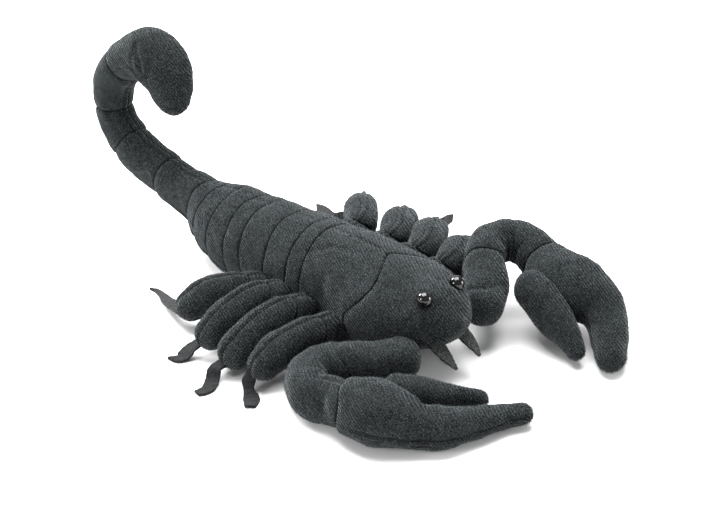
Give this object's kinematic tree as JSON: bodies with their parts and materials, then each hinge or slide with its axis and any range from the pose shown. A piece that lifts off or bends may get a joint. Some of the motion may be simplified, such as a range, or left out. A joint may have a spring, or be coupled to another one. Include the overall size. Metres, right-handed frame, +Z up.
{
  "type": "stuffed toy scorpion",
  "caption": "Stuffed velour scorpion lying on its belly, tail curled over its back, with padded claws, padded legs, felt feet, felt fangs and bead eyes.",
  "frame": {"origin": "on the floor in the toy's middle plane, under the first seam behind the chest, on the flat that the belly rests on", "axes": "-Y towards the head, +X to the toy's left side, +Z up from the floor it lies on"},
  "size_m": [0.2235, 0.3469, 0.129],
  "materials": {
    "plush": "short velour pile",
    "felt": "matt felt",
    "eye": "glossy black bead"
  },
  "bodies": {
    "root": {"head": "plush", "thorax": "plush", "abdomen_1": "plush", "abdomen_2": "plush", "abdomen_3": "plush", "abdomen_4": "plush", "abdomen_5": "plush", "abdomen_6": "plush", "abdomen_7": "plush", "tail_1": "plush", "tail_2": "plush", "tail_3": "plush", "tail_4": "plush", "telson": "plush", "eye_right": "eye", "fang_right": "felt", "eye_left": "eye", "fang_left": "felt", "upper_arm_right": "plush", "forearm_right": "plush", "claw_right": "plush", "thumb_right": "plush", "upper_arm_left": "plush", "forearm_left": "plush", "claw_left": "plush", "thumb_left": "plush", "thigh_right_1": "plush", "shin_right_1": "plush", "foot_right_1": "felt", "thigh_right_2": "plush", "shin_right_2": "plush", "foot_right_2": "felt", "thigh_right_3": "plush", "shin_right_3": "plush", "foot_right_3": "felt", "thigh_right_4": "plush", "shin_right_4": "plush", "foot_right_4": "felt", "thigh_left_1": "plush", "shin_left_1": "plush", "foot_left_1": "felt", "thigh_left_2": "plush", "shin_left_2": "plush", "foot_left_2": "felt", "thigh_left_3": "plush", "shin_left_3": "plush", "foot_left_3": "felt", "thigh_left_4": "plush", "shin_left_4": "plush", "foot_left_4": "felt"}
  },
  "joints": []
}
